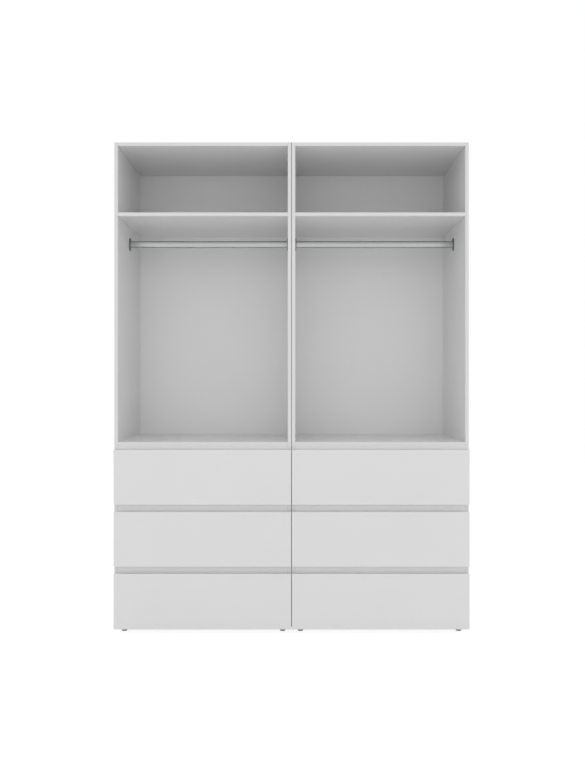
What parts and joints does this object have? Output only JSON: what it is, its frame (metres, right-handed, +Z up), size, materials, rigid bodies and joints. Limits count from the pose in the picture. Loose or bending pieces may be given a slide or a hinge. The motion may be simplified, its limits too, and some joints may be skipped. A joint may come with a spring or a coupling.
{
  "type": "open wardrobe",
  "caption": "Open white wardrobe of joined modules, each with a shelf, an oval hanging rail and handleless drawers on telescopic runners.",
  "frame": {"origin": "on the floor, under the middle of the wardrobe's width and depth", "axes": "+Z up, the drawer fronts face -Y and open towards -Y, +X to the right as seen from the front"},
  "size_m": [1.504, 0.578, 2.108],
  "materials": {
    "white_board": "satin white melamine on particle board",
    "back_board": "white lacquered hardboard",
    "drawer_board": "white foil on particle board",
    "beech": "fluted beech dowel",
    "chrome_tube": "bright chromed steel tube",
    "socket_metal": "satin nickel on die-cast zinc",
    "runner_steel": "bright zinc plating",
    "zinc": "zinc plating",
    "bracket_steel": "white powder coat",
    "grey_plastic": "moulded grey plastic",
    "grey_felt": "dense grey felt strip",
    "buffer": "translucent soft buffer"
  },
  "bodies": {
    "cabinet": {"left_outer_side": "white_board", "left_inner_side": "white_board", "left_top_panel": "white_board", "left_shelf": "white_board", "left_deck": "white_board", "left_base_panel": "white_board", "left_back_panel": "back_board", "left_hanging_rail": "chrome_tube", "right_outer_side": "white_board", "right_inner_side": "white_board", "right_top_panel": "white_board", "right_shelf": "white_board", "right_deck": "white_board", "right_base_panel": "white_board", "right_back_panel": "back_board", "right_hanging_rail": "chrome_tube", "front_rails": "white_board", "rail_sockets": "socket_metal", "cabinet_runners": "runner_steel", "foot_sleeves": "zinc", "cam_locks": "zinc", "cam_bolts": "zinc", "dowels": "beech", "wood_screws": "zinc", "module_connectors": "zinc", "gap_strips": "grey_felt", "wall_brackets": "bracket_steel", "front_buffers": "buffer"},
    "left_front_outer_foot": {"left_front_outer_foot": "grey_plastic"},
    "left_front_inner_foot": {"left_front_inner_foot": "grey_plastic"},
    "left_rear_outer_foot": {"left_rear_outer_foot": "grey_plastic"},
    "left_rear_inner_foot": {"left_rear_inner_foot": "grey_plastic"},
    "right_front_outer_foot": {"right_front_outer_foot": "grey_plastic"},
    "right_front_inner_foot": {"right_front_inner_foot": "grey_plastic"},
    "right_rear_outer_foot": {"right_rear_outer_foot": "grey_plastic"},
    "right_rear_inner_foot": {"right_rear_inner_foot": "grey_plastic"},
    "left_upper_drawer": {"left_upper_drawer_front": "white_board", "left_upper_drawer_box": "drawer_board", "left_upper_drawer_fittings": "runner_steel"},
    "left_upper_intermediate_runners": {"left_upper_intermediate_runners": "runner_steel"},
    "left_middle_drawer": {"left_middle_drawer_front": "white_board", "left_middle_drawer_box": "drawer_board", "left_middle_drawer_fittings": "runner_steel"},
    "left_middle_intermediate_runners": {"left_middle_intermediate_runners": "runner_steel"},
    "left_lower_drawer": {"left_lower_drawer_front": "white_board", "left_lower_drawer_box": "drawer_board", "left_lower_drawer_fittings": "runner_steel"},
    "left_lower_intermediate_runners": {"left_lower_intermediate_runners": "runner_steel"},
    "right_upper_drawer": {"right_upper_drawer_front": "white_board", "right_upper_drawer_box": "drawer_board", "right_upper_drawer_fittings": "runner_steel"},
    "right_upper_intermediate_runners": {"right_upper_intermediate_runners": "runner_steel"},
    "right_middle_drawer": {"right_middle_drawer_front": "white_board", "right_middle_drawer_box": "drawer_board", "right_middle_drawer_fittings": "runner_steel"},
    "right_middle_intermediate_runners": {"right_middle_intermediate_runners": "runner_steel"},
    "right_lower_drawer": {"right_lower_drawer_front": "white_board", "right_lower_drawer_box": "drawer_board", "right_lower_drawer_fittings": "runner_steel"},
    "right_lower_intermediate_runners": {"right_lower_intermediate_runners": "runner_steel"}
  },
  "joints": [
    {"name": "left_front_outer_foot_screw", "type": "slide", "parent": "cabinet", "child": "left_front_outer_foot", "axis": [0, 0, -1], "range_m": [0, 0.012]},
    {"name": "left_front_inner_foot_screw", "type": "slide", "parent": "cabinet", "child": "left_front_inner_foot", "axis": [0, 0, -1], "range_m": [0, 0.012]},
    {"name": "left_rear_outer_foot_screw", "type": "slide", "parent": "cabinet", "child": "left_rear_outer_foot", "axis": [0, 0, -1], "range_m": [0, 0.012]},
    {"name": "left_rear_inner_foot_screw", "type": "slide", "parent": "cabinet", "child": "left_rear_inner_foot", "axis": [0, 0, -1], "range_m": [0, 0.012]},
    {"name": "right_front_outer_foot_screw", "type": "slide", "parent": "cabinet", "child": "right_front_outer_foot", "axis": [0, 0, -1], "range_m": [0, 0.012]},
    {"name": "right_front_inner_foot_screw", "type": "slide", "parent": "cabinet", "child": "right_front_inner_foot", "axis": [0, 0, -1], "range_m": [0, 0.012]},
    {"name": "right_rear_outer_foot_screw", "type": "slide", "parent": "cabinet", "child": "right_rear_outer_foot", "axis": [0, 0, -1], "range_m": [0, 0.012]},
    {"name": "right_rear_inner_foot_screw", "type": "slide", "parent": "cabinet", "child": "right_rear_inner_foot", "axis": [0, 0, -1], "range_m": [0, 0.012]},
    {"name": "left_upper_drawer_slide", "type": "slide", "parent": "cabinet", "child": "left_upper_drawer", "axis": [0, -1, 0], "range_m": [0, 0.48]},
    {"name": "left_upper_intermediate_slide", "type": "slide", "parent": "cabinet", "child": "left_upper_intermediate_runners", "axis": [0, -1, 0], "range_m": [0, 0.24]},
    {"name": "left_middle_drawer_slide", "type": "slide", "parent": "cabinet", "child": "left_middle_drawer", "axis": [0, -1, 0], "range_m": [0, 0.48]},
    {"name": "left_middle_intermediate_slide", "type": "slide", "parent": "cabinet", "child": "left_middle_intermediate_runners", "axis": [0, -1, 0], "range_m": [0, 0.24]},
    {"name": "left_lower_drawer_slide", "type": "slide", "parent": "cabinet", "child": "left_lower_drawer", "axis": [0, -1, 0], "range_m": [0, 0.48]},
    {"name": "left_lower_intermediate_slide", "type": "slide", "parent": "cabinet", "child": "left_lower_intermediate_runners", "axis": [0, -1, 0], "range_m": [0, 0.24]},
    {"name": "right_upper_drawer_slide", "type": "slide", "parent": "cabinet", "child": "right_upper_drawer", "axis": [0, -1, 0], "range_m": [0, 0.48]},
    {"name": "right_upper_intermediate_slide", "type": "slide", "parent": "cabinet", "child": "right_upper_intermediate_runners", "axis": [0, -1, 0], "range_m": [0, 0.24]},
    {"name": "right_middle_drawer_slide", "type": "slide", "parent": "cabinet", "child": "right_middle_drawer", "axis": [0, -1, 0], "range_m": [0, 0.48]},
    {"name": "right_middle_intermediate_slide", "type": "slide", "parent": "cabinet", "child": "right_middle_intermediate_runners", "axis": [0, -1, 0], "range_m": [0, 0.24]},
    {"name": "right_lower_drawer_slide", "type": "slide", "parent": "cabinet", "child": "right_lower_drawer", "axis": [0, -1, 0], "range_m": [0, 0.48]},
    {"name": "right_lower_intermediate_slide", "type": "slide", "parent": "cabinet", "child": "right_lower_intermediate_runners", "axis": [0, -1, 0], "range_m": [0, 0.24]}
  ],
  "couplings": [
    {"joint": "left_upper_intermediate_slide", "follows": "left_upper_drawer_slide", "ratio": 0.5},
    {"joint": "left_middle_intermediate_slide", "follows": "left_middle_drawer_slide", "ratio": 0.5},
    {"joint": "left_lower_intermediate_slide", "follows": "left_lower_drawer_slide", "ratio": 0.5},
    {"joint": "right_upper_intermediate_slide", "follows": "right_upper_drawer_slide", "ratio": 0.5},
    {"joint": "right_middle_intermediate_slide", "follows": "right_middle_drawer_slide", "ratio": 0.5},
    {"joint": "right_lower_intermediate_slide", "follows": "right_lower_drawer_slide", "ratio": 0.5}
  ]
}
